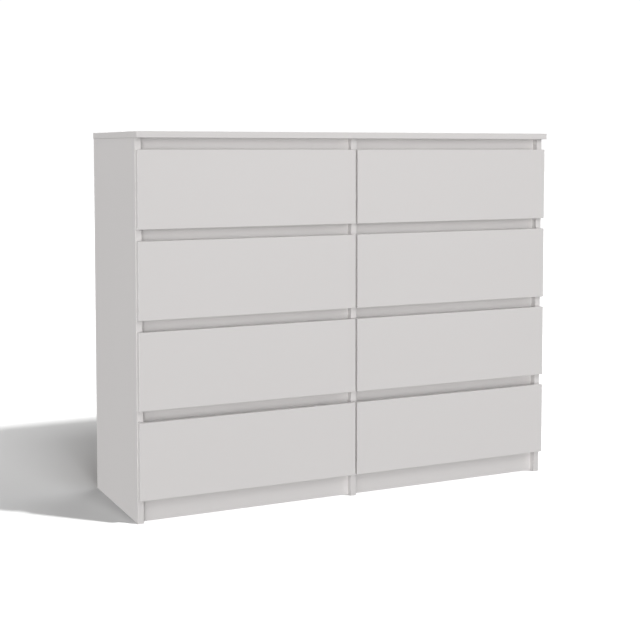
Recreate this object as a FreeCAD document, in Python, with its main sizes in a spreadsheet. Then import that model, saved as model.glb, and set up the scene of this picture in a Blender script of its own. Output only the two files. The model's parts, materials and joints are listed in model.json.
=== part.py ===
import FreeCAD, Part
import os
import Sketcher

# A chest of eight drawers in two columns of four, built from flat boards.
# All sizes are millimetres. The origin is on the floor at the centre of the footprint:
# +X to the viewer's right, the drawers open towards -Y, +Z up.

ROWS = 4
COLUMNS = ("left", "right")

DIMENSIONS = {
    # carcass
    "overall_width": 1200.0,
    "overall_height": 970.0,
    "side_depth": 370.0,
    "board": 16.0,
    "edge_radius": 0.8,
    "top_side_overhang": 1.5,
    "top_front_overhang": 22.0,
    "plinth_setback": 17.5,
    "rail_setback": 19.0,
    "rail_overlap": 15.5,
    "back_sheet": 3.0,
    "back_rebate": 8.0,
    "back_rebate_depth": 4.0,
    # drawer fronts
    "front_height": 194.5,
    "front_floor_gap": 60.0,
    "row_gap": 29.0,
    "centre_gap": 5.5,
    "front_side_inset": 1.25,
    "front_stand_off": 0.5,
    # drawer boxes
    "box_board": 12.0,
    "box_height": 150.0,
    "box_depth": 350.0,
    "box_lift": 22.0,
    "bottom_sheet": 3.0,
    "groove_lift": 10.0,
    "groove_depth": 6.0,
    "fit_play": 0.2,
    # roller runners
    "runner_space": 12.5,
    "runner_length": 345.0,
    "runner_inset": 3.0,
    "runner_steel": 1.0,
    "runner_ledge": 11.0,
    "runner_lip": 7.0,
    "runner_rise": 18.0,
    "channel_height": 16.7,
    "channel_drop": 0.5,
    "channel_notch": 22.0,
    "roller_radius": 7.0,
    "front_roller_radius": 7.5,
    "roller_width": 5.0,
    "roller_end_gap": 12.0,
    "rear_roller_centre": 7.8,
    "front_roller_centre": 9.2,
    "rivet_radius": 2.0,
    "rivet_length": 8.0,
    "rivet_play": 0.05,
    # cam locks that hold the rails and the plinths
    "cam_radius": 7.5,
    "cam_height": 12.5,
    "cam_edge_gap": 34.0,
    "cam_slot_length": 9.0,
    "cam_slot_width": 2.0,
    "cam_slot_depth": 2.5,
}

CARCASS_WIDTH = "(Dims.overall_width - 2 * Dims.top_side_overhang)"
OVERALL_DEPTH = "(Dims.side_depth + Dims.top_front_overhang)"
SIDE_HEIGHT = "(Dims.overall_height - Dims.board)"
COLUMN_WIDTH = f"({CARCASS_WIDTH} / 2 - 1.5 * Dims.board)"
CARCASS_FRONT_Y = "((Dims.top_front_overhang - Dims.side_depth) / 2)"
REAR_Y = f"({OVERALL_DEPTH} / 2)"
ROW_PITCH = "(Dims.front_height + Dims.row_gap)"
FRONT_WIDTH = f"({CARCASS_WIDTH} / 2 - Dims.front_side_inset - Dims.centre_gap / 2)"
DRAWER_Y = f"({CARCASS_FRONT_Y} - Dims.front_stand_off)"
BOX_WIDTH = f"({COLUMN_WIDTH} - 2 * Dims.runner_space)"
GROOVE_HEIGHT = "(Dims.bottom_sheet + 2 * Dims.fit_play)"
GROOVE_TOP = f"(Dims.groove_lift + {GROOVE_HEIGHT})"
SHEET_WIDTH = f"({BOX_WIDTH} - 2 * Dims.box_board + 2 * Dims.groove_depth - 2 * Dims.fit_play)"

# Left edge of the clear space in each column, and of the drawer fronts.
COLUMN_X = {
    "left": f"(Dims.board - {CARCASS_WIDTH} / 2)",
    "right": "(Dims.board / 2)",
}
FRONT_X = {
    "left": f"(-Dims.centre_gap / 2 - {FRONT_WIDTH})",
    "right": "(Dims.centre_gap / 2)",
}

doc = FreeCAD.newDocument("Dresser")
sheet = doc.addObject("Spreadsheet::Sheet", "Dims")
for line, (alias, value) in enumerate(DIMENSIONS.items(), start=1):
    sheet.set(f"A{line}", alias)
    sheet.set(f"B{line}", str(value))
    sheet.setAlias(f"B{line}", alias)
doc.recompute()

nodes = []


def place(item, corner):
    """Bind an object's position to the cells."""
    for axis, expression in zip("xyz", corner):
        item.setExpression(f"Placement.Base.{axis}", expression)


def open_sketch(body, name, plane):
    """Start a sketch on one of the body's own origin planes."""
    sketch = body.newObject("Sketcher::SketchObject", name)
    role = f"{plane}_Plane"
    for feature in body.Origin.OriginFeatures:
        if feature.Role == role:
            sketch.AttachmentSupport = [(feature, "")]
    sketch.MapMode = "FlatFace"
    return sketch


def bind_point(sketch, element, position, name, point):
    """Hold one sketch point at two expressions measured from the sketch's origin."""
    for kind, own_axis, expression in (("DistanceX", -2, point[0]), ("DistanceY", -1, point[1])):
        if expression == "0":
            sketch.addConstraint(Sketcher.Constraint("PointOnObject", element, position, own_axis))
            continue
        value = float(sketch.evalExpression(expression))
        constraint = Sketcher.Constraint(kind, -1, 1, element, position, value)
        index = sketch.addConstraint(constraint)
        label = f"{name}_{kind[-1].lower()}"
        sketch.renameConstraint(index, label)
        sketch.setExpression(f"Constraints.{label}", expression)


def draw_outline(sketch, points):
    """Draw a closed outline through points whose coordinates are expressions."""
    corners = []
    for across, along in points:
        x = float(sketch.evalExpression(across))
        y = float(sketch.evalExpression(along))
        corners.append(FreeCAD.Vector(x, y, 0))
    count = len(corners)
    first = sketch.GeometryCount
    for index, corner in enumerate(corners):
        sketch.addGeometry(Part.LineSegment(corner, corners[(index + 1) % count]))
    for index in range(count):
        following = first + (index + 1) % count
        sketch.addConstraint(Sketcher.Constraint("Coincident", first + index, 2, following, 1))
    for index, point in enumerate(points):
        bind_point(sketch, first + index, 1, f"p{first + index}", point)


def draw_circle(sketch, centre, radius):
    """Draw a circle with its centre and radius bound to expressions."""
    x = float(sketch.evalExpression(centre[0]))
    y = float(sketch.evalExpression(centre[1]))
    size = float(sketch.evalExpression(radius))
    circle = Part.Circle(FreeCAD.Vector(x, y, 0), FreeCAD.Vector(0, 0, 1), size)
    element = sketch.addGeometry(circle)
    index = sketch.addConstraint(Sketcher.Constraint("Radius", element, size))
    sketch.renameConstraint(index, f"radius{element}")
    sketch.setExpression(f"Constraints.radius{element}", radius)
    bind_point(sketch, element, 3, f"c{element}", centre)


def rectangle(left, low, right, high):
    """Return the four corners of a rectangle."""
    return [(left, low), (right, low), (right, high), (left, high)]


def extrude(body, kind, sketch, length, backwards=False):
    """Pad or pocket a sketch by an expression."""
    feature = body.newObject(f"PartDesign::{kind}", f"{sketch.Name}_{kind.lower()}")
    feature.Profile = sketch
    feature.setExpression("Length", length)
    feature.Reversed = backwards
    doc.recompute()
    return feature


def start_body(name, plane, outline, length, backwards=False):
    """Make a body whose first feature is an outline padded along the plane's normal."""
    body = doc.addObject("PartDesign::Body", name)
    body.Label = name
    sketch = open_sketch(body, f"{name}_outline", plane)
    draw_outline(sketch, outline)
    extrude(body, "Pad", sketch, length, backwards)
    return body


def round_edges(body, wanted):
    """Round the edges of the body's last feature that pass the test."""
    base = body.Tip
    names = []
    for index, edge in enumerate(base.Shape.Edges, start=1):
        if wanted(edge):
            names.append(f"Edge{index}")
    fillet = body.newObject("PartDesign::Fillet", f"{body.Name}_rounding")
    fillet.Base = (base, names)
    fillet.setExpression("Radius", "Dims.edge_radius")
    doc.recompute()


def keep(item, corner):
    """Place a finished piece and list it as a node."""
    place(item, corner)
    nodes.append(item)


def every_edge(edge):
    return True


def front_upright(edge):
    """True for the vertical edges at local y = 0, the board's front edge."""
    box = edge.BoundBox
    return box.ZLength > 1.0 and abs(box.YMax) < 1e-6


def box_board(name, size, corner, wanted=None):
    """A plain board with its low corner at the given place."""
    body = start_body(name, "XY", rectangle("0", "0", size[0], size[1]), size[2])
    if wanted:
        round_edges(body, wanted)
    keep(body, corner)
    return body


# ---------------------------------------------------------------- carcass boards

box_board(
    "top_panel",
    ("Dims.overall_width", OVERALL_DEPTH, "Dims.board"),
    ("-Dims.overall_width / 2", f"-{OVERALL_DEPTH} / 2", SIDE_HEIGHT),
    every_edge,
)
box_board(
    "centre_divider",
    ("Dims.board", "Dims.side_depth - Dims.back_rebate_depth", SIDE_HEIGHT),
    ("-Dims.board / 2", CARCASS_FRONT_Y, "0"),
    front_upright,
)

# The side panels have a rebate along the inner rear edge. The back sheet sits in it, nailed to
# the other boards, and just clear of a wall behind.
SHOULDER = "Dims.board - Dims.back_rebate"
REBATE_Y = "Dims.side_depth - Dims.back_rebate_depth"
SIDE_OUTLINES = {
    "left": [
        ("0", "0"),
        ("Dims.board", "0"),
        ("Dims.board", REBATE_Y),
        (SHOULDER, REBATE_Y),
        (SHOULDER, "Dims.side_depth"),
        ("0", "Dims.side_depth"),
    ],
    "right": [
        ("0", "0"),
        ("Dims.board", "0"),
        ("Dims.board", "Dims.side_depth"),
        ("Dims.back_rebate", "Dims.side_depth"),
        ("Dims.back_rebate", REBATE_Y),
        ("0", REBATE_Y),
    ],
}
SIDE_X = {
    "left": f"-{CARCASS_WIDTH} / 2",
    "right": f"{CARCASS_WIDTH} / 2 - Dims.board",
}
for column in COLUMNS:
    panel = start_body(f"{column}_side_panel", "XY", SIDE_OUTLINES[column], SIDE_HEIGHT)
    round_edges(panel, front_upright)
    keep(panel, (SIDE_X[column], CARCASS_FRONT_Y, "0"))

BACK_WIDTH = f"({CARCASS_WIDTH} - 2 * Dims.board + 2 * Dims.back_rebate - 2 * Dims.fit_play)"
box_board(
    "back_panel",
    (BACK_WIDTH, "Dims.back_sheet", f"{SIDE_HEIGHT} - Dims.front_floor_gap - Dims.fit_play"),
    (f"-{BACK_WIDTH} / 2", f"{REAR_Y} - Dims.back_rebate_depth", "Dims.front_floor_gap"),
)

for column in COLUMNS:
    box_board(
        f"{column}_bottom_panel",
        (
            COLUMN_WIDTH,
            "Dims.side_depth - Dims.back_rebate_depth - Dims.plinth_setback",
            "Dims.board",
        ),
        (COLUMN_X[column], f"{CARCASS_FRONT_Y} + Dims.plinth_setback", "Dims.front_floor_gap"),
    )


# ---------------------------------------------------------------- rails, plinths and cams

cam = doc.addObject("PartDesign::Body", "cam_lock")
cam.Label = "cam_lock"
cam_disc = open_sketch(cam, "cam_disc", "XZ")
draw_circle(cam_disc, ("0", "0"), "Dims.cam_radius")
extrude(cam, "Pad", cam_disc, "Dims.cam_height")
for turn, (half_x, half_y) in enumerate((("length", "width"), ("width", "length"))):
    slot = open_sketch(cam, f"cam_slot{turn}", "XZ")
    reach_x = f"Dims.cam_slot_{half_x} / 2"
    reach_y = f"Dims.cam_slot_{half_y} / 2"
    draw_outline(slot, rectangle(f"-{reach_x}", f"-{reach_y}", reach_x, reach_y))
    extrude(cam, "Pocket", slot, "Dims.cam_slot_depth", backwards=True)

cams = []


def copy_of(master, name, corner):
    """A linked copy of a master piece at its own place."""
    link = doc.addObject("App::Link", name)
    link.LinkedObject = master
    place(link, corner)
    return link


def cam_board(name, height, corner):
    """A board across one column, its rear face at local y = 0, held by a cam at each end."""
    body = start_body(name, "XZ", rectangle("0", "0", COLUMN_WIDTH, height), "Dims.board")
    seats = open_sketch(body, f"{name}_seats", "XZ")
    for end, across in enumerate(("Dims.cam_edge_gap", f"{COLUMN_WIDTH} - Dims.cam_edge_gap")):
        draw_circle(seats, (across, f"{height} / 2"), "Dims.cam_radius")
        spot = (f"{corner[0]} + {across}", corner[1], f"{corner[2]} + {height} / 2")
        cams.append(copy_of(cam, f"{name}_cam{end}", spot))
    extrude(body, "Pocket", seats, "Dims.cam_height", backwards=True)
    place(body, corner)
    return body


def front_bottom(row):
    """Height of the lower edge of the drawer front in a row, counted from the top."""
    return f"(Dims.front_floor_gap + {ROWS - row} * {ROW_PITCH})"


rails = []
for column in COLUMNS:
    plinth_y = f"{CARCASS_FRONT_Y} + Dims.plinth_setback + Dims.board"
    plinth = cam_board(
        f"{column}_plinth", "Dims.front_floor_gap", (COLUMN_X[column], plinth_y, "0")
    )
    nodes.append(plinth)
    for row in range(1, ROWS + 1):
        rail_y = f"{CARCASS_FRONT_Y} + Dims.rail_setback + Dims.board"
        rail_z = f"{front_bottom(row)} + Dims.front_height - Dims.rail_overlap"
        above = "Dims.rail_overlap" if row > 1 else "0"
        rail_height = f"(Dims.row_gap + Dims.rail_overlap + {above})"
        rail = cam_board(
            f"rail_{column}_{row}", rail_height, (COLUMN_X[column], rail_y, rail_z)
        )
        rails.append(rail)


def gather(name, pieces):
    """One node holding a group of separate pieces."""
    group = doc.addObject("Part::Compound", name)
    group.Label = name
    group.Links = pieces
    nodes.append(group)
    return group


gather("finger_rails", rails)
gather("cam_fittings", cams)


# ---------------------------------------------------------------- runners

# Both members are drawn for the right-hand side of a drawer and mirrored for the left.
# Drawer member: a ledge under the drawer side, a web beside it and a lip at the top.
WEB_X = "Dims.runner_ledge"
WEB_OUTER_X = "(Dims.runner_ledge + Dims.runner_steel)"
LIP_X = f"({WEB_OUTER_X} + Dims.runner_lip)"
LIP_TOP = "(Dims.runner_rise + Dims.runner_steel)"
drawer_member = start_body(
    "drawer_member",
    "XZ",
    [
        ("0", "0"),
        (WEB_OUTER_X, "0"),
        (WEB_OUTER_X, "Dims.runner_rise"),
        (LIP_X, "Dims.runner_rise"),
        (LIP_X, LIP_TOP),
        (WEB_X, LIP_TOP),
        (WEB_X, "Dims.runner_steel"),
        ("0", "Dims.runner_steel"),
    ],
    "Dims.runner_length",
    backwards=True,
)
# Cabinet member: a channel open towards the drawer, its upper flange cut back at the front.
CHANNEL_WIDTH = "(Dims.runner_space - Dims.runner_inset)"
CHANNEL_WEB = f"({CHANNEL_WIDTH} - Dims.runner_steel)"
FLANGE_Z = "(Dims.channel_height - Dims.runner_steel)"
cabinet_member = start_body(
    "cabinet_member",
    "XZ",
    [
        ("0", "0"),
        (CHANNEL_WIDTH, "0"),
        (CHANNEL_WIDTH, "Dims.channel_height"),
        ("0", "Dims.channel_height"),
        ("0", FLANGE_Z),
        (CHANNEL_WEB, FLANGE_Z),
        (CHANNEL_WEB, "Dims.runner_steel"),
        ("0", "Dims.runner_steel"),
    ],
    "Dims.runner_length",
    backwards=True,
)
notch = open_sketch(cabinet_member, "channel_notch_cut", "YZ")
draw_outline(
    notch,
    rectangle("0", f"{FLANGE_Z} - Dims.runner_steel", "Dims.channel_notch", "Dims.channel_height"),
)
extrude(cabinet_member, "Pocket", notch, CHANNEL_WEB, backwards=True)

# The rivets that carry the rollers belong to the members.
REAR_ROLLER_Y = "(Dims.runner_length - Dims.roller_end_gap)"
REAR_ROLLER_Z = "(Dims.rear_roller_centre + Dims.runner_steel)"
FRONT_ROLLER_Z = "(Dims.front_roller_centre + Dims.channel_drop)"
rear_rivet = open_sketch(drawer_member, "rear_rivet", "YZ")
draw_circle(rear_rivet, (REAR_ROLLER_Y, REAR_ROLLER_Z), "Dims.rivet_radius")
extrude(drawer_member, "Pad", rear_rivet, f"{WEB_OUTER_X} + Dims.rivet_length")
rivet_waste = open_sketch(drawer_member, "rear_rivet_waste", "YZ")
draw_circle(rivet_waste, (REAR_ROLLER_Y, REAR_ROLLER_Z), "Dims.rivet_radius + Dims.runner_steel")
extrude(drawer_member, "Pocket", rivet_waste, WEB_X, backwards=True)
front_rivet = open_sketch(cabinet_member, "front_rivet", "YZ")
draw_circle(front_rivet, ("Dims.roller_end_gap", FRONT_ROLLER_Z), "Dims.rivet_radius")
extrude(cabinet_member, "Pad", front_rivet, CHANNEL_WEB)


def make_roller(name, radius):
    """A roller ring centred on the local X axis."""
    body = doc.addObject("PartDesign::Body", name)
    body.Label = name
    sketch = open_sketch(body, f"{name}_ring", "YZ")
    draw_circle(sketch, ("0", "0"), radius)
    draw_circle(sketch, ("0", "0"), "Dims.rivet_radius + Dims.rivet_play")
    extrude(body, "Pad", sketch, "Dims.roller_width")
    return body


rear_roller = make_roller("rear_roller", "Dims.roller_radius")
front_roller = make_roller("front_roller", "Dims.front_roller_radius")


def mirrored(master, name):
    """The left-hand version of a master piece."""
    mirror = doc.addObject("Part::Mirroring", name)
    mirror.Source = master
    mirror.Normal = FreeCAD.Vector(1, 0, 0)
    doc.recompute()
    return mirror


HANDS = {
    "right": {
        "drawer_member": drawer_member,
        "cabinet_member": cabinet_member,
        "rear_roller": rear_roller,
        "front_roller": front_roller,
    },
    "left": {
        "drawer_member": mirrored(drawer_member, "drawer_member_left"),
        "cabinet_member": mirrored(cabinet_member, "cabinet_member_left"),
        "rear_roller": mirrored(rear_roller, "rear_roller_left"),
        "front_roller": mirrored(front_roller, "front_roller_left"),
    },
}


def runner_set(name, member, roller, box_x, member_shift, roller_shift):
    """Both sides of one drawer's runner: each member with its roller."""
    pieces = []
    for hand, sign, face in (("left", "-", box_x), ("right", "+", f"{box_x} + {BOX_WIDTH}")):
        for kind, shift in ((member, member_shift), (roller, roller_shift)):
            spot = (f"{face} {sign} ({shift[0]})", shift[1], shift[2])
            pieces.append(copy_of(HANDS[hand][kind], f"{name}_{kind}_{hand}", spot))
    return pieces


# ---------------------------------------------------------------- drawers

cabinet_runners = []
for column in COLUMNS:
    for row in range(1, ROWS + 1):
        drawer = f"drawer_{column}_{row}"
        front_z = front_bottom(row)
        box_x = f"({COLUMN_X[column]} + Dims.runner_space)"
        box_z = f"({front_z} + Dims.box_lift)"
        inner_x = f"({box_x} + Dims.box_board)"
        sheet_x = f"({inner_x} - Dims.groove_depth + Dims.fit_play)"

        # The front has a stopped groove in its rear face for the bottom sheet.
        front = start_body(
            f"{drawer}_front",
            "XZ",
            rectangle("0", "0", FRONT_WIDTH, "Dims.front_height"),
            "Dims.board",
        )
        round_edges(front, every_edge)
        groove = open_sketch(front, f"{drawer}_front_groove", "XZ")
        groove_x = f"({sheet_x} - Dims.fit_play - {FRONT_X[column]})"
        groove_z = "(Dims.box_lift + Dims.groove_lift)"
        draw_outline(
            groove,
            rectangle(
                groove_x,
                groove_z,
                f"{groove_x} + {SHEET_WIDTH} + 2 * Dims.fit_play",
                f"{groove_z} + {GROOVE_HEIGHT}",
            ),
        )
        extrude(front, "Pocket", groove, "Dims.groove_depth", backwards=True)
        keep(front, (FRONT_X[column], DRAWER_Y, front_z))

        # The sides have a through groove on their inner faces.
        left_outline = [
            ("0", "0"),
            ("Dims.box_board", "0"),
            ("Dims.box_board", "Dims.groove_lift"),
            ("Dims.box_board - Dims.groove_depth", "Dims.groove_lift"),
            ("Dims.box_board - Dims.groove_depth", GROOVE_TOP),
            ("Dims.box_board", GROOVE_TOP),
            ("Dims.box_board", "Dims.box_height"),
            ("0", "Dims.box_height"),
        ]
        right_outline = [
            ("0", "0"),
            ("Dims.box_board", "0"),
            ("Dims.box_board", "Dims.box_height"),
            ("0", "Dims.box_height"),
            ("0", GROOVE_TOP),
            ("Dims.groove_depth", GROOVE_TOP),
            ("Dims.groove_depth", "Dims.groove_lift"),
            ("0", "Dims.groove_lift"),
        ]
        right_x = f"({box_x} + {BOX_WIDTH} - Dims.box_board)"
        for hand, outline, x in (("left", left_outline, box_x), ("right", right_outline, right_x)):
            side = start_body(
                f"{drawer}_{hand}_side", "XZ", outline, "Dims.box_depth", backwards=True
            )
            keep(side, (x, DRAWER_Y, box_z))

        # The back stands on the bottom sheet, which runs through beneath it.
        box_board(
            f"{drawer}_back",
            (
                f"{BOX_WIDTH} - 2 * Dims.box_board",
                "Dims.box_board",
                f"Dims.box_height - {GROOVE_TOP} + Dims.fit_play",
            ),
            (
                inner_x,
                f"{DRAWER_Y} + Dims.box_depth - Dims.box_board",
                f"{box_z} + {GROOVE_TOP} - Dims.fit_play",
            ),
        )
        box_board(
            f"{drawer}_bottom",
            (
                SHEET_WIDTH,
                "Dims.box_depth + Dims.groove_depth - Dims.fit_play",
                "Dims.bottom_sheet",
            ),
            (
                sheet_x,
                f"{DRAWER_Y} - Dims.groove_depth + Dims.fit_play",
                f"{box_z} + Dims.groove_lift + Dims.fit_play",
            ),
        )

        drawer_runner_y = f"{DRAWER_Y} + Dims.runner_inset"
        gather(
            f"{drawer}_runners",
            runner_set(
                f"{drawer}_runner",
                "drawer_member",
                "rear_roller",
                box_x,
                ("-Dims.runner_ledge", drawer_runner_y, f"{box_z} - Dims.runner_steel"),
                (
                    "Dims.runner_inset + 0.5",
                    f"{drawer_runner_y} + {REAR_ROLLER_Y}",
                    f"{box_z} + Dims.rear_roller_centre",
                ),
            ),
        )
        cabinet_runner_y = f"{CARCASS_FRONT_Y} + Dims.runner_inset"
        cabinet_runners += runner_set(
            f"cabinet_{column}_{row}",
            "cabinet_member",
            "front_roller",
            box_x,
            ("Dims.runner_inset", cabinet_runner_y, f"{box_z} - Dims.channel_drop"),
            (
                "Dims.runner_inset - 0.5",
                f"{cabinet_runner_y} + Dims.roller_end_gap",
                f"{box_z} + Dims.front_roller_centre",
            ),
        )
gather("cabinet_runners", cabinet_runners)


# ---------------------------------------------------------------- checks and export

doc.recompute()
for item in doc.Objects:
    if "Invalid" in item.State or "Error" in item.State:
        raise RuntimeError(f"{item.Name} did not build: {item.State}")

os.makedirs("parts", exist_ok=True)
for item in nodes:
    shape = item.Shape
    if shape.isNull() or not shape.isValid():
        raise RuntimeError(f"{item.Label} has no valid shape")
    shape.exportStep(f"parts/{item.Label}.step")
print(f"{len(nodes)} nodes written")
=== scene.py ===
import json
import math

import bmesh
import bpy
from mathutils import Matrix, Vector


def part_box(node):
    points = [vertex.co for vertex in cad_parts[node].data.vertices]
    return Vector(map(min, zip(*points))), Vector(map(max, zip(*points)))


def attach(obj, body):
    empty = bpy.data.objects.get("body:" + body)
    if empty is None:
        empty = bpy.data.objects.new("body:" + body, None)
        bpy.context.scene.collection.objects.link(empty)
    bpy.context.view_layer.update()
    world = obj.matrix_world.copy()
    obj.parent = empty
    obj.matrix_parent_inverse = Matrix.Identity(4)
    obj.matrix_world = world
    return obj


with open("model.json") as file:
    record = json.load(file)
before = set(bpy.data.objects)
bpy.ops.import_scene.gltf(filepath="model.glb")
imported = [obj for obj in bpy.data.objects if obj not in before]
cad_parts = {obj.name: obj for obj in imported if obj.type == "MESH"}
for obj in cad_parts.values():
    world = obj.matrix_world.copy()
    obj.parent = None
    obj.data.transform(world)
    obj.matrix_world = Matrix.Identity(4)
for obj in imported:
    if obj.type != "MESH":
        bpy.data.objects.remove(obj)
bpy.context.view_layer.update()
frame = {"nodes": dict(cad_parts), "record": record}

# A chest of eight drawers. The boards, sheets, runners and cams are the CAD nodes themselves,
# with their surfaces made here. The small fittings (nails, screws, caps, bumpers) are added.

nodes = frame["nodes"]
bodies = frame["record"]["behaviour"]["bodies"]
drawers = [name for name in bodies if name.startswith("drawer_")]
mm = 0.001

# The colours that the surfaces vary between.
WHITE = (0.832, 0.818, 0.812)
# The finger rails' lighter white is painted light: it stands in for light reaching the recessed
# gaps between the fronts.
RAIL_PAINTED_LIGHT = (0.900, 0.886, 0.880)
WHITE_SHADE = (0.814, 0.800, 0.793)
BOX_WHITE = (0.822, 0.812, 0.802)
BOX_SHADE = (0.800, 0.790, 0.778)
SHEET_WHITE = (0.780, 0.764, 0.748)
SHEET_SHADE = (0.752, 0.735, 0.718)
FIBRE_DARK = (0.150, 0.082, 0.043)
FIBRE_LIGHT = (0.250, 0.150, 0.085)
CHIP_DARK = (0.230, 0.140, 0.075)
CHIP_LIGHT = (0.560, 0.410, 0.260)
COAT_DARK = (0.60, 0.60, 0.585)
COAT_LIGHT = (0.66, 0.66, 0.645)
NYLON_DARK = (0.50, 0.50, 0.48)
NYLON_LIGHT = (0.62, 0.62, 0.60)
CAM_DARK = (0.42, 0.43, 0.44)
CAM_LIGHT = (0.56, 0.57, 0.58)
ZINC_DARK = (0.50, 0.50, 0.49)
ZINC_LIGHT = (0.66, 0.66, 0.64)
BUMPER_DARK = (0.58, 0.58, 0.57)
BUMPER_LIGHT = (0.66, 0.66, 0.65)
FLOOR_DARK = (0.49, 0.49, 0.49)
FLOOR_LIGHT = (0.51, 0.51, 0.51)

# Edge tape on the boards, and the strip of tape down the middle of the folded back sheet.
TAPE_THICK = 1.0 * mm
FOLD_TAPE_HALF = 20.0 * mm

# How far the edges of the sharp-cornered boards are rounded.
CARCASS_ROUNDING = 0.4 * mm
BOX_ROUNDING = 0.5 * mm

ROLLER_RADIUS = 7.8 * mm
ROLLER_HALF_WIDTH = 2.7 * mm


# ---------------------------------------------------------------- building materials

class Surface:
    """One node-based material, built with short calls."""

    def __init__(self, name):
        self.material = bpy.data.materials.new(name)
        self.material.use_nodes = True
        self.tree = self.material.node_tree
        self.shader = self.tree.nodes["Principled BSDF"]
        place = self.tree.nodes.new("ShaderNodeTexCoord")
        self.point = place.outputs["Object"]
        self.normal = place.outputs["Normal"]

    def add(self, kind, inputs=(), **settings):
        """Add a node, set its properties, and link or set its inputs by name or number."""
        node = self.tree.nodes.new(kind)
        for name, value in settings.items():
            setattr(node, name, value)
        for name, value in dict(inputs).items():
            self.feed(node.inputs[name], value)
        return node

    def feed(self, socket, value):
        """Link a socket to another one, or set it to a number, vector or colour."""
        if isinstance(value, bpy.types.NodeSocket):
            self.tree.links.new(value, socket)
        elif isinstance(value, tuple) and len(value) == 3 and socket.type == "RGBA":
            socket.default_value = (*value, 1.0)
        else:
            socket.default_value = value

    def maths(self, operation, first, second=0.0, third=0.0):
        inputs = {0: first, 1: second, 2: third}
        return self.add("ShaderNodeMath", inputs, operation=operation).outputs[0]

    def vector(self, operation, first, second):
        inputs = {0: first, 1: second}
        return self.add("ShaderNodeVectorMath", inputs, operation=operation).outputs[0]

    def split(self, vector):
        return self.add("ShaderNodeSeparateXYZ", {0: vector}).outputs

    def ramp(self, value, low, high, start=0.0, end=1.0):
        """Value taken smoothly from (low, high) to (start, end)."""
        inputs = {0: value, 1: low, 2: high, 3: start, 4: end}
        return self.add("ShaderNodeMapRange", inputs, interpolation_type="SMOOTHSTEP").outputs[0]

    def noise(self, scale, detail=2.0, roughness=0.5, point=None):
        inputs = {
            "Vector": self.point if point is None else point,
            "Scale": scale,
            "Detail": detail,
            "Roughness": roughness,
        }
        return self.add("ShaderNodeTexNoise", inputs).outputs["Fac"]

    def mix(self, factor, first, second):
        """Mix two colours."""
        node = self.add("ShaderNodeMix", data_type="RGBA")
        self.feed(node.inputs[0], factor)
        self.feed(node.inputs[6], first)
        self.feed(node.inputs[7], second)
        return node.outputs[2]

    def bump(self, height, distance, strength, under=None):
        inputs = {"Height": height, "Distance": distance, "Strength": strength}
        if under is not None:
            inputs["Normal"] = under
        return self.add("ShaderNodeBump", inputs).outputs["Normal"]

    def finish(self, colour, roughness, normal, **constants):
        self.feed(self.shader.inputs["Base Color"], colour)
        self.feed(self.shader.inputs["Roughness"], roughness)
        self.feed(self.shader.inputs["Normal"], normal)
        for name, value in constants.items():
            self.feed(self.shader.inputs[name], value)
        return self.material


def melamine(surface, light, shade):
    """Colour, roughness and normal of matt melamine: slow cloud, fine ripple, pearl texture."""
    cloud = surface.noise(2.2, 3.0)
    ripple = surface.noise(160.0, 2.0)
    pearl = surface.noise(1100.0, 1.0)
    colour = surface.mix(cloud, shade, light)
    roughness = surface.maths("MULTIPLY_ADD", ripple, 0.10, 0.40)
    normal = surface.bump(ripple, 0.05 * mm, 0.20)
    normal = surface.bump(pearl, 0.03 * mm, 0.25, normal)
    return colour, roughness, normal


def chipboard(surface):
    """Colour of a raw chipboard edge: pressed wood chips of mixed tone."""
    cells = surface.add("ShaderNodeTexVoronoi", {"Vector": surface.point, "Scale": 420.0})
    chips = surface.split(cells.outputs["Color"])[0]
    fleck = surface.noise(900.0, 3.0)
    tone = surface.maths("MULTIPLY_ADD", fleck, 0.5, surface.maths("MULTIPLY", chips, 0.6))
    return surface.mix(tone, CHIP_DARK, CHIP_LIGHT)


def board_surface(name, node, light, shade, raw_rear=False):
    """Melamine on one board, with its edge tape and the tape's hairline joint."""
    surface = Surface(name)
    colour, roughness, normal = melamine(surface, light, shade)
    low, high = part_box(node)
    size = [high[i] - low[i] for i in range(3)]
    thin = size.index(min(size))
    far = [10.0 if i == thin else 0.0 for i in range(3)]

    # The joint is a tape's thickness from the nearest edge, in the plane of the board's faces,
    # so far keeps the board's thin direction from counting.
    from_low = surface.vector("SUBTRACT", surface.point, tuple(low))
    to_high = surface.vector("SUBTRACT", tuple(high), surface.point)
    nearest = surface.vector("ADD", surface.vector("MINIMUM", from_low, to_high), tuple(far))
    across = surface.split(nearest)
    edge = surface.maths("MINIMUM", surface.maths("MINIMUM", across[0], across[1]), across[2])
    off_joint = surface.maths("ABSOLUTE", surface.maths("SUBTRACT", edge, TAPE_THICK))
    joint = surface.ramp(off_joint, 0.08 * mm, 0.22 * mm, 1.0, 0.0)
    darker = tuple(0.80 * part for part in shade)
    colour = surface.mix(surface.maths("MULTIPLY", joint, 0.35), colour, darker)
    normal = surface.bump(surface.maths("MULTIPLY", joint, -1.0), 0.10 * mm, 0.35, normal)

    # The tape is a little glossier than the faces.
    tilt = surface.maths("ABSOLUTE", surface.split(surface.normal)[thin])
    tape = surface.ramp(tilt, 0.2, 0.6, 1.0, 0.0)
    roughness = surface.maths("SUBTRACT", roughness, surface.maths("MULTIPLY", tape, 0.06))
    if raw_rear:
        rear = surface.ramp(surface.split(surface.normal)[1], 0.5, 0.8)
        colour = surface.mix(rear, colour, chipboard(surface))
        roughness = surface.maths("MAXIMUM", roughness, surface.maths("MULTIPLY", rear, 0.85))
        grit = surface.maths("MULTIPLY", rear, surface.noise(700.0, 3.0))
        normal = surface.bump(grit, 0.35 * mm, 0.6, normal)
    return surface.finish(colour, roughness, normal, IOR=1.48)


def group_surface(name, light, shade):
    """The same melamine for a node that holds several boards."""
    surface = Surface(name)
    colour, roughness, normal = melamine(surface, light, shade)
    return surface.finish(colour, roughness, normal, IOR=1.48)


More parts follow.
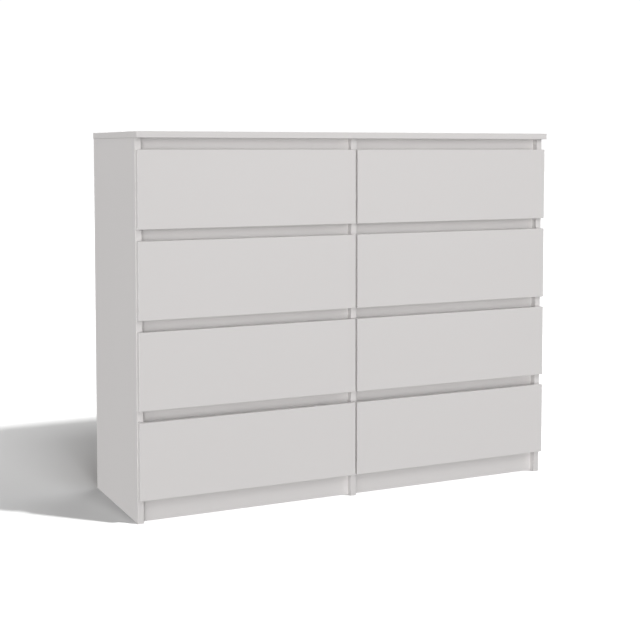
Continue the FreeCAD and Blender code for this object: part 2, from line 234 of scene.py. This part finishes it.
def sheet_surface(name, raw_axis, raw_sign, fold=False):
    """Hard fibreboard, lacquered white, with its raw brown face towards raw_sign on raw_axis."""
    surface = Surface(name)
    mottle = surface.noise(35.0, 4.0, 0.6)
    lacquer = surface.mix(mottle, SHEET_SHADE, SHEET_WHITE)
    fibres = surface.vector("MULTIPLY", surface.point, (1.0, 0.35, 0.35))
    strand = surface.noise(520.0, 4.0, 0.7, fibres)
    speck = surface.ramp(surface.noise(1400.0, 2.0), 0.60, 0.75)
    patches = surface.ramp(mottle, 0.30, 0.70, 0.0, 0.4)
    tone = surface.maths("ADD", surface.ramp(strand, 0.35, 0.65, 0.0, 0.6), patches)
    raw = surface.mix(tone, FIBRE_DARK, FIBRE_LIGHT)
    raw = surface.mix(surface.maths("MULTIPLY", speck, 0.4), raw, CHIP_LIGHT)
    facing = surface.maths("MULTIPLY", surface.split(surface.normal)[raw_axis], raw_sign)
    bare = surface.ramp(facing, -0.4, 0.4)
    colour = surface.mix(bare, lacquer, raw)
    roughness = surface.maths("MULTIPLY_ADD", bare, 0.22, 0.42)
    normal = surface.bump(strand, 0.06 * mm, 0.30)
    if fold:
        # The sheet comes folded in two; a strip of tape makes the hinge at its middle.
        off_centre = surface.maths("ABSOLUTE", surface.split(surface.point)[0])
        strip = surface.ramp(off_centre, FOLD_TAPE_HALF - 0.4 * mm, FOLD_TAPE_HALF, 1.0, 0.0)
        crease = surface.ramp(off_centre, 0.4 * mm, 1.2 * mm, 1.0, 0.0)
        tape = surface.mix(crease, SHEET_WHITE, tuple(0.6 * part for part in SHEET_WHITE))
        colour = surface.mix(strip, colour, tape)
        roughness = surface.maths("MULTIPLY_ADD", strip, -0.25, roughness)
        lift = surface.maths("SUBTRACT", strip, crease)
        normal = surface.bump(lift, 0.3 * mm, 0.6, normal)
    return surface.finish(colour, roughness, normal)


def near(surface, value, centres, half_width):
    """1 where the value is within half_width of any of the centres, else 0."""
    total = surface.maths("COMPARE", value, centres[0], half_width)
    for centre in centres[1:]:
        total = surface.maths("MAXIMUM", total, surface.maths("COMPARE", value, centre, half_width))
    return total


def steel_surface(name, roller_x, roller_y, roller_z):
    """White powder-coated steel, with nylon where the rollers are."""
    surface = Surface(name)
    x, y, z = surface.split(surface.point)
    across = near(surface, x, roller_x, ROLLER_HALF_WIDTH)
    along = near(surface, y, [roller_y], ROLLER_RADIUS)
    up = near(surface, z, roller_z, ROLLER_RADIUS)
    roller = surface.maths("MULTIPLY", surface.maths("MULTIPLY", across, along), up)
    grain = surface.noise(700.0, 2.0)
    coat = surface.mix(surface.noise(30.0, 3.0), COAT_DARK, COAT_LIGHT)
    nylon = surface.mix(grain, NYLON_DARK, NYLON_LIGHT)
    colour = surface.mix(roller, coat, nylon)
    roughness = surface.maths("MULTIPLY_ADD", roller, 0.14, 0.36)
    normal = surface.bump(grain, 0.05 * mm, 0.35)
    return surface.finish(colour, roughness, normal)


def metal_surface(name, dark, light, base_roughness):
    """Plated steel or zinc with a slightly uneven surface."""
    surface = Surface(name)
    grain = surface.noise(1500.0, 3.0)
    colour = surface.mix(grain, dark, light)
    roughness = surface.maths("MULTIPLY_ADD", grain, 0.15, base_roughness)
    normal = surface.bump(grain, 0.02 * mm, 0.4)
    return surface.finish(colour, roughness, normal, Metallic=1.0)


def plastic_surface(name, dark, light, base_roughness):
    """Moulded plastic."""
    surface = Surface(name)
    grain = surface.noise(1300.0, 2.0)
    colour = surface.mix(grain, dark, light)
    roughness = surface.maths("MULTIPLY_ADD", grain, 0.12, base_roughness)
    normal = surface.bump(grain, 0.02 * mm, 0.3)
    return surface.finish(colour, roughness, normal)


def dress(node, material):
    """Give a CAD node its surface."""
    mesh = nodes[node].data
    mesh.materials.clear()
    mesh.materials.append(material)


def soften(node, width):
    """Round a sharp-edged CAD board a little, as real edge tape is."""
    weld = nodes[node].modifiers.new("weld", "WELD")
    weld.merge_threshold = 0.01 * mm
    bevel = nodes[node].modifiers.new("rounding", "BEVEL")
    bevel.width = width
    bevel.segments = 2
    bevel.limit_method = "ANGLE"
    bevel.angle_limit = math.radians(50)


# ---------------------------------------------------------------- boards and sheets

for board in ("left_side_panel", "right_side_panel", "centre_divider"):
    dress(board, board_surface(f"melamine_{board}", board, WHITE, WHITE_SHADE, raw_rear=True))
for board in ("top_panel", "left_plinth", "right_plinth"):
    dress(board, board_surface(f"melamine_{board}", board, WHITE, WHITE_SHADE))
for board in ("left_bottom_panel", "right_bottom_panel"):
    dress(board, board_surface(f"melamine_{board}", board, WHITE, WHITE_SHADE, raw_rear=True))
# The finger rails get a lighter white than the other boards: painted light on the shaded rails in
# the gaps between the fronts.
dress("finger_rails", group_surface("melamine_rails_painted_light", RAIL_PAINTED_LIGHT, WHITE))
dress("back_panel", sheet_surface("fibreboard_back", 1, 1.0, fold=True))
dress("cam_fittings", metal_surface("cam_zinc", CAM_DARK, CAM_LIGHT, 0.32))
for board in ("finger_rails", "left_bottom_panel", "right_bottom_panel"):
    soften(board, CARCASS_ROUNDING)

for name in drawers:
    front = board_surface(f"melamine_{name}_front", f"{name}_front", WHITE, WHITE_SHADE)
    dress(f"{name}_front", front)
    for part in ("left_side", "right_side", "back"):
        board = f"{name}_{part}"
        dress(board, board_surface(f"melamine_{board}", board, BOX_WHITE, BOX_SHADE))
        soften(board, BOX_ROUNDING)
    dress(f"{name}_bottom", sheet_surface(f"fibreboard_{name}", 2, -1.0))


# ---------------------------------------------------------------- runners

# Middle of each roller: in from the end of its runner, out from the drawer's side, and up from
# the lower edge of that side. The rear rollers ride on the drawer and the front ones don't.
ROLLER_FROM_END = 12.0 * mm
REAR_ROLLER_OUT = 6.0 * mm
REAR_ROLLER_UP = 7.8 * mm
FRONT_ROLLER_OUT = 5.0 * mm
FRONT_ROLLER_UP = 9.2 * mm

front_x = set()
front_z = set()
for name in drawers:
    left_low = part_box(f"{name}_left_side")[0]
    right_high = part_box(f"{name}_right_side")[1]
    rear_x = [left_low[0] - REAR_ROLLER_OUT, right_high[0] + REAR_ROLLER_OUT]
    rear_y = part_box(f"{name}_runners")[1][1] - ROLLER_FROM_END
    rear_z = [left_low[2] + REAR_ROLLER_UP]
    dress(f"{name}_runners", steel_surface(f"runner_steel_{name}", rear_x, rear_y, rear_z))
    # Rounded, because the drawers of a column or row share one value.
    front_x.add(round(left_low[0] - FRONT_ROLLER_OUT, 5))
    front_x.add(round(right_high[0] + FRONT_ROLLER_OUT, 5))
    front_z.add(round(left_low[2] + FRONT_ROLLER_UP, 5))
front_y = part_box("cabinet_runners")[0][1] + ROLLER_FROM_END
cabinet_steel = steel_surface("runner_steel_carcass", sorted(front_x), front_y, sorted(front_z))
dress("cabinet_runners", cabinet_steel)


# ---------------------------------------------------------------- small fittings

# Kinds of head: radius, height, and how far the cross recess reaches, or 0 for none.
NAIL = (2.6 * mm, 0.6 * mm, 0.0)
CHANNEL_SCREW = (3.6 * mm, 1.3 * mm, 2.1 * mm)
MEMBER_SCREW = (3.2 * mm, 0.8 * mm, 1.9 * mm)
CAM_CAP = (9.0 * mm, 1.0 * mm, 4.0 * mm)
BACK_SCREW = (4.6 * mm, 0.5 * mm, 2.6 * mm)
BUMPER = (2.3 * mm, 0.4 * mm, 0.0)


def head(build, centre, axis, radius, height, cross):
    """A domed round head standing on a surface at centre, pointing along axis."""
    profile = [
        (radius, 0.0),
        (radius, 0.35 * height),
        (0.86 * radius, 0.75 * height),
        (0.55 * radius, height),
    ]
    turn = Vector((0.0, 0.0, 1.0)).rotation_difference(Vector(axis)).to_matrix().to_4x4()
    shift = Matrix.Translation(Vector(centre)) @ turn
    steps = 20
    rings = []
    for ring_radius, level in profile:
        ring = []
        for step in range(steps):
            angle = 2.0 * math.pi * step / steps
            spot = (ring_radius * math.cos(angle), ring_radius * math.sin(angle), level)
            ring.append(build.verts.new(shift @ Vector(spot)))
        rings.append(ring)
    for lower, upper in zip(rings, rings[1:]):
        for step in range(steps):
            after = (step + 1) % steps
            build.faces.new((lower[step], lower[after], upper[after], upper[step]))
    build.faces.new(tuple(reversed(rings[0])))
    if not cross:
        build.faces.new(tuple(rings[-1]))
        return
    # A cross recess: the flat top dips inside a four-armed rim.
    depth = 0.45 * height
    rim = []
    for step in range(steps):
        angle = 2.0 * math.pi * step / steps
        arm = abs(math.cos(2.0 * angle)) ** 3
        reach = cross * (0.35 + 0.65 * arm)
        spot = (reach * math.cos(angle), reach * math.sin(angle), height)
        rim.append(build.verts.new(shift @ Vector(spot)))
    pit = build.verts.new(shift @ Vector((0.0, 0.0, height - depth)))
    for step in range(steps):
        after = (step + 1) % steps
        build.faces.new((rings[-1][step], rings[-1][after], rim[after], rim[step]))
        build.faces.new((rim[step], rim[after], pit))


def heads_piece(name, body, material, kind, spots):
    """One piece made of many heads of one kind, each at a spot (centre, axis)."""
    build = bmesh.new()
    for centre, axis in spots:
        head(build, centre, axis, *kind)
    mesh = bpy.data.meshes.new(name)
    build.to_mesh(mesh)
    build.free()
    for face in mesh.polygons:
        face.use_smooth = True
    piece = bpy.data.objects.new(name, mesh)
    bpy.context.scene.collection.objects.link(piece)
    mesh.materials.append(material)
    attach(piece, body)


def spread(start, end, gap):
    """Evenly spaced values from start to end, about gap apart."""
    count = max(1, round((end - start) / gap))
    return [start + (end - start) * step / count for step in range(count + 1)]


zinc = metal_surface("zinc_plate", ZINC_DARK, ZINC_LIGHT, 0.26)
cap_plastic = plastic_surface("cap_plastic", BOX_SHADE, BOX_WHITE, 0.34)
bumper_plastic = plastic_surface("bumper_plastic", BUMPER_DARK, BUMPER_LIGHT, 0.22)

# Nails that hold the back sheet to the sides, the divider and the bottom panels.
NAIL_FROM_SIDE = 4.5 * mm
NAIL_FROM_END = 8.0 * mm
NAIL_GAP_UP = 110.0 * mm
NAIL_GAP_ACROSS = 115.0 * mm

back_low, back_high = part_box("back_panel")
left_nails = back_low[0] + NAIL_FROM_SIDE
right_nails = back_high[0] - NAIL_FROM_SIDE
bottom_nails = back_low[2] + NAIL_FROM_END
top_nails = back_high[2] - NAIL_FROM_END
nails = []
for z in spread(bottom_nails, top_nails, NAIL_GAP_UP):
    for x in (left_nails, 0.0, right_nails):
        nails.append(((x, back_high[1], z), (0, 1, 0)))
for x in spread(left_nails, right_nails, NAIL_GAP_ACROSS)[1:-1]:
    nails.append(((x, back_high[1], bottom_nails), (0, 1, 0)))
heads_piece("back_nails", "carcass", zinc, NAIL, nails)

# Places on a drawer's sides: out from the outer face, back from the front end, up from the
# lower edge. The channels are screwed to the carcass and the members to the drawer.
CHANNEL_OUT = 11.5 * mm
CHANNEL_SCREWS_BACK = (45.0 * mm, 170.0 * mm, 300.0 * mm)
CHANNEL_SCREWS_UP = 7.6 * mm
MEMBER_OUT = 1.0 * mm
MEMBER_SCREWS_BACK = (60.0 * mm, 190.0 * mm, 310.0 * mm)
MEMBER_SCREWS_UP = 9.0 * mm
CAPS_BACK = 34.0 * mm
CAPS_UP = (48.0 * mm, 118.0 * mm)
BACK_SCREWS_FROM_REAR = 6.0 * mm
BACK_SCREWS_UP = (38.0 * mm, 118.0 * mm)

channel_screws = []
for name in drawers:
    left_low, left_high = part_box(f"{name}_left_side")
    right_low, right_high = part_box(f"{name}_right_side")
    front_end = left_low[1]
    rear_end = left_high[1]
    lower_edge = left_low[2]
    member_screws = []
    back_screws = []
    for face, outward in ((left_low[0], -1.0), (right_high[0], 1.0)):
        for back in CHANNEL_SCREWS_BACK:
            x = face + outward * CHANNEL_OUT
            spot = (x, front_end + back, lower_edge + CHANNEL_SCREWS_UP)
            channel_screws.append((spot, (-outward, 0, 0)))
        for back in MEMBER_SCREWS_BACK:
            x = face + outward * MEMBER_OUT
            spot = (x, front_end + back, lower_edge + MEMBER_SCREWS_UP)
            member_screws.append((spot, (outward, 0, 0)))
        # Screws through the sides into the drawer's back.
        for up in BACK_SCREWS_UP:
            spot = (face, rear_end - BACK_SCREWS_FROM_REAR, lower_edge + up)
            back_screws.append((spot, (outward, 0, 0)))
    # Caps over the cams that pull the sides to the front.
    caps = []
    for face, inward in ((left_high[0], 1.0), (right_low[0], -1.0)):
        for up in CAPS_UP:
            caps.append(((face, front_end + CAPS_BACK, lower_edge + up), (inward, 0, 0)))
    heads_piece(f"{name}_runner_screws", name, zinc, MEMBER_SCREW, member_screws)
    heads_piece(f"{name}_cam_caps", name, cap_plastic, CAM_CAP, caps)
    heads_piece(f"{name}_back_screws", name, zinc, BACK_SCREW, back_screws)
heads_piece("cabinet_runner_screws", "carcass", zinc, CHANNEL_SCREW, channel_screws)

# Soft dots on the carcass edges, where the drawer fronts close: two on the divider and two on
# the side panel for each front, in from the front's edges.
BUMPER_FROM_END = 14.0 * mm
BUMPER_ON_DIVIDER = 2.6 * mm
BUMPER_ON_SIDE = 8.0 * mm

dots = []
edge_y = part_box("centre_divider")[0][1]
for name in drawers:
    front_low, front_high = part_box(f"{name}_front")
    inner_x = min(front_low[0], front_high[0], key=abs)
    outer_x = max(front_low[0], front_high[0], key=abs)
    sign = math.copysign(1.0, outer_x)
    for z in (front_low[2] + BUMPER_FROM_END, front_high[2] - BUMPER_FROM_END):
        for x in (inner_x + sign * BUMPER_ON_DIVIDER, outer_x - sign * BUMPER_ON_SIDE):
            dots.append(((x, edge_y, z), (0, -1, 0)))
heads_piece("front_bumpers", "carcass", bumper_plastic, BUMPER, dots)


# ---------------------------------------------------------------- studio

FLOOR_REACH = 40.0
FLOOR_LEVEL = -0.2 * mm
WARM = (1.0, 0.986, 0.984)

floor_mesh = bpy.data.meshes.new("studio_floor")
corners = ((-1, -1), (1, -1), (1, 1), (-1, 1))
floor_mesh.from_pydata(
    [(x * FLOOR_REACH, y * FLOOR_REACH, FLOOR_LEVEL) for x, y in corners],
    [],
    [(0, 1, 2, 3)],
)
floor = bpy.data.objects.new("studio_floor", floor_mesh)
bpy.context.scene.collection.objects.link(floor)
floor_surface = Surface("studio_floor_paint")
floor_tone = floor_surface.mix(floor_surface.noise(0.6, 2.0), FLOOR_DARK, FLOOR_LIGHT)
floor_normal = floor_surface.bump(floor_surface.noise(80.0), 0.1 * mm, 0.1)
floor_mesh.materials.append(floor_surface.finish(floor_tone, 0.8, floor_normal))

# The floor neither lights nor shades the chest from below: each has lights of its own.
floor.visible_diffuse = False
floor.visible_glossy = False
floor.visible_shadow = False
floor_only = bpy.data.collections.new("floor_only")
floor_only.objects.link(floor)
all_but_floor = bpy.data.collections.new("all_but_floor")
all_but_floor.objects.link(floor)
all_but_floor.collection_objects[0].light_linking.link_state = "EXCLUDE"


def aim(lamp, towards_light, lit):
    """Add a lamp that shines from the given direction on what lit holds, warm on the chest."""
    light = bpy.data.objects.new(lamp.name, lamp)
    light.rotation_mode = "QUATERNION"
    light.rotation_quaternion = towards_light.to_track_quat("Z", "Y")
    light.light_linking.receiver_collection = lit
    if lit is all_but_floor:
        lamp.color = WARM
    bpy.context.scene.collection.objects.link(light)
    return light


def sun(name, azimuth, elevation, spread_angle, share, lit):
    """A far light. Azimuth 0 is straight in front of the chest (-Y), 90 to its right (+X).

    share is what a white surface square to it would show.
    """
    lamp = bpy.data.lights.new(name, "SUN")
    lamp.energy = share * math.pi
    lamp.angle = math.radians(spread_angle)
    side = math.radians(azimuth)
    rise = math.radians(elevation)
    level = math.cos(rise)
    aim(lamp, Vector((math.sin(side) * level, -math.cos(side) * level, math.sin(rise))), lit)


# Each sun's name, azimuth, elevation, spread, share and what it lights.
sun("key_on_floor", 45.0, 38.0, 4.0, 2.20, floor_only)
sun("wide_on_floor", 90.0, 35.0, 90.0, 1.00, floor_only)
sun("soft_on_floor", 0.0, 50.0, 20.0, 0.66, floor_only)
sun("front", -20.0, 1.0, 32.0, 0.275, all_but_floor)
sun("low", -20.0, -12.0, 40.0, 0.09, all_but_floor)
sun("mid_left", -45.0, 0.0, 50.0, 0.12, all_but_floor)
sun("left", -95.0, 12.0, 40.0, 0.27, all_but_floor)
sun("high", -18.0, 30.0, 44.0, 0.14, all_but_floor)
sun("right", 110.0, 20.0, 40.0, 0.58, all_but_floor)
sun("top", 0.0, 90.0, 50.0, 0.26, all_but_floor)
sun("rear", 180.0, 25.0, 40.0, 0.35, all_but_floor)

box_lamp = bpy.data.lights.new("soft_box", "AREA")
box_lamp.shape = "DISK"
box_lamp.size = 0.8
box_lamp.energy = 5.6
box_place = Vector((0.3, -2.2, 1.7))
box_target = Vector((0.0, -0.2, 0.6))
soft_box = aim(box_lamp, box_place - box_target, all_but_floor)
soft_box.location = box_place
soft_box.visible_camera = False

# The camera sees a white backdrop, and everything else gets a dim light from all around.
world = bpy.data.worlds.new("studio")
world.use_nodes = True
world_nodes = world.node_tree.nodes
world_links = world.node_tree.links
ambient = world_nodes["Background"]
ambient.inputs["Color"].default_value = (1.0, 1.0, 1.0, 1.0)
ambient.inputs["Strength"].default_value = 0.15
backdrop = world_nodes.new("ShaderNodeBackground")
backdrop.inputs["Color"].default_value = (1.0, 1.0, 1.0, 1.0)
backdrop.inputs["Strength"].default_value = 1.05
choose = world_nodes.new("ShaderNodeMixShader")
path = world_nodes.new("ShaderNodeLightPath")
world_links.new(path.outputs["Is Camera Ray"], choose.inputs[0])
world_links.new(ambient.outputs[0], choose.inputs[1])
world_links.new(backdrop.outputs[0], choose.inputs[2])
world_links.new(choose.outputs[0], world_nodes["World Output"].inputs[0])

scene = bpy.context.scene
scene.world = world
scene.view_settings.view_transform = "Standard"

# The camera stands to the left of the chest, just below the height of its top.
camera_data = bpy.data.cameras.new("camera")
camera_data.lens = 70.15
camera_data.sensor_width = 36.0
camera_data.shift_y = -0.15
camera = bpy.data.objects.new("camera", camera_data)
camera.location = (-1.5015, -3.1057, 0.9253)
turn = math.radians(25.56)
dip = math.radians(3.42)
view = Vector((math.sin(turn) * math.cos(dip), math.cos(turn) * math.cos(dip), -math.sin(dip)))
camera.rotation_mode = "QUATERNION"
camera.rotation_quaternion = view.to_track_quat("-Z", "Y")
scene.collection.objects.link(camera)
scene.camera = camera
